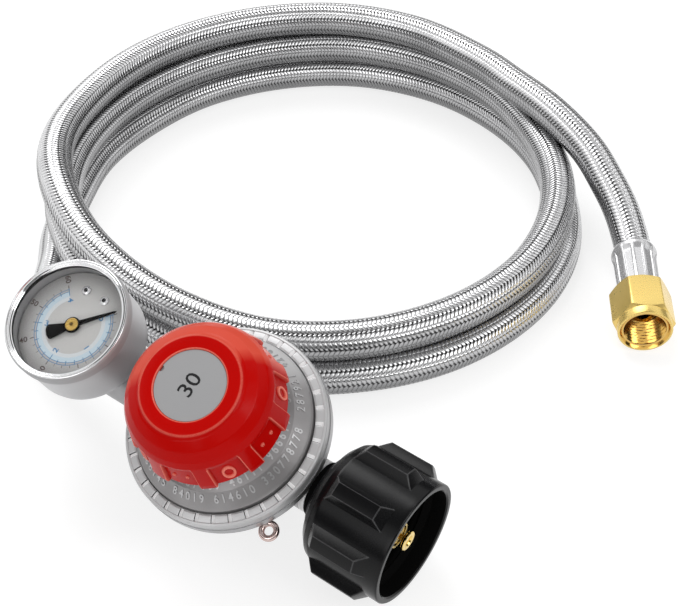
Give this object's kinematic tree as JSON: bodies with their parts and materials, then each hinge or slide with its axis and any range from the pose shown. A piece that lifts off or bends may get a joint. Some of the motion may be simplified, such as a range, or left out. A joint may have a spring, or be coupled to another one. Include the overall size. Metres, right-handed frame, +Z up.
{
  "type": "propane regulator hose",
  "caption": "Adjustable propane regulator with a red knob, a round gauge and a black hand nut, on a coiled braided hose that ends in a brass flare nut.",
  "frame": {"origin": "on the floor under the middle of the regulator's box, hose and flare end left out", "axes": "+X along the floor under the inlet, out of the hand nut; +Y towards the coil; +Z up"},
  "size_m": [0.268, 0.2951, 0.0784],
  "materials": {
    "cast_grey": "cast, satin",
    "bright_steel": "bright",
    "chrome": "polished",
    "brass": "turned",
    "red_plastic": "glossy",
    "black_plastic": "satin",
    "rubber": "matt",
    "label_foil": "satin",
    "dial_face": "printed",
    "lens_glass": "clear",
    "needle_paint": "matt",
    "braid": "braided wire sleeve over rubber",
    "eye_metal": "tinned"
  },
  "bodies": {
    "regulator": {"lower_body": "cast_grey", "bonnet": "cast_grey", "crimp_ring": "bright_steel", "seal_eye": "eye_metal", "diaphragm": "rubber", "orifice_nozzle": "brass", "lever_pin": "bright_steel", "vent_screen": "bright_steel", "main_spring": "bright_steel", "spring_button": "bright_steel", "gauge_stem": "brass", "gauge_case": "chrome", "gauge_bezel": "chrome", "gauge_lens": "lens_glass", "lens_gasket": "rubber", "gauge_dial": "dial_face", "dial_screws": "bright_steel", "bourdon_tube": "brass", "gauge_link": "bright_steel", "movement_frame": "brass", "inlet_nipple": "brass", "nipple_oring": "rubber", "nut_collar": "chrome", "poppet_spring": "bright_steel", "hose_stem": "brass", "outlet_ferrule": "bright_steel", "hose": "braid", "end_ferrule": "bright_steel", "flare_tail": "brass"},
    "knob_group": {"knob": "red_plastic", "knob_label": "label_foil", "adjusting_screw": "bright_steel"},
    "diaphragm_group": {"diaphragm_plate": "bright_steel", "diaphragm_stem": "brass"},
    "lever_body": {"lever": "bright_steel"},
    "valve_group": {"valve_stem": "brass", "valve_disc": "rubber"},
    "poppet_body": {"inlet_poppet": "brass"},
    "hand_nut_group": {"hand_nut": "black_plastic", "nut_bushing": "black_plastic"},
    "sector_body": {"sector_gear": "brass"},
    "needle_group": {"pinion": "brass", "needle": "needle_paint", "needle_hub": "brass"},
    "flare_nut_body": {"flare_nut": "brass"}
  },
  "joints": [
    {"name": "knob_turn", "type": "hinge", "parent": "regulator", "child": "knob_group", "pos_m": [0.01016, -0.01258, 0.06309], "axis": [-0.0616, 0.4695, -0.8808], "range_deg": [0, 1080]},
    {"name": "diaphragm_lift", "type": "slide", "parent": "regulator", "child": "diaphragm_group", "axis": [0.0616, -0.4695, 0.8808], "range_m": [-0.001, 0.001], "stiffness_N_per_m": 600, "deforming": ["main_spring"]},
    {"name": "lever_rock", "type": "hinge", "parent": "regulator", "child": "lever_body", "pos_m": [-0.0079, 0.00348, 0.03408], "axis": [-0.0327, -0.8829, -0.4683], "range_deg": [-3.6, 3.6]},
    {"name": "valve_slide", "type": "slide", "parent": "regulator", "child": "valve_group", "axis": [0.9976, 0, -0.0698], "range_m": [-0.00032, 0.00032]},
    {"name": "poppet_slide", "type": "slide", "parent": "regulator", "child": "poppet_body", "axis": [-0.9976, 0, 0.0698], "range_m": [0, 0.0024], "stiffness_N_per_m": 200, "deforming": ["poppet_spring"]},
    {"name": "hand_nut_turn", "type": "hinge", "parent": "regulator", "child": "hand_nut_group", "pos_m": [0.05758, 0.0062, 0.02437], "axis": [0.9976, 0, -0.0698], "continuous": true},
    {"name": "sector_turn", "type": "hinge", "parent": "regulator", "child": "sector_body", "pos_m": [-0.04802, -0.01635, 0.04812], "axis": [0.0616, -0.4695, 0.8808], "range_deg": [0, 45]},
    {"name": "needle_turn", "type": "hinge", "parent": "regulator", "child": "needle_group", "pos_m": [-0.04731, -0.00788, 0.05826], "axis": [0.0616, -0.4695, 0.8808], "range_deg": [-270.5, 0.5]},
    {"name": "flare_nut_turn", "type": "hinge", "parent": "regulator", "child": "flare_nut_body", "pos_m": [0.07569, 0.16221, 0.01128], "axis": [0.5433, -0.8366, -0.0698], "continuous": true}
  ],
  "couplings": [
    {"joint": "lever_rock", "follows": "diaphragm_lift", "rad_per_m": 62.5},
    {"joint": "valve_slide", "follows": "diaphragm_lift", "ratio": 0.3125},
    {"joint": "needle_turn", "follows": "sector_turn", "ratio": -6}
  ]
}
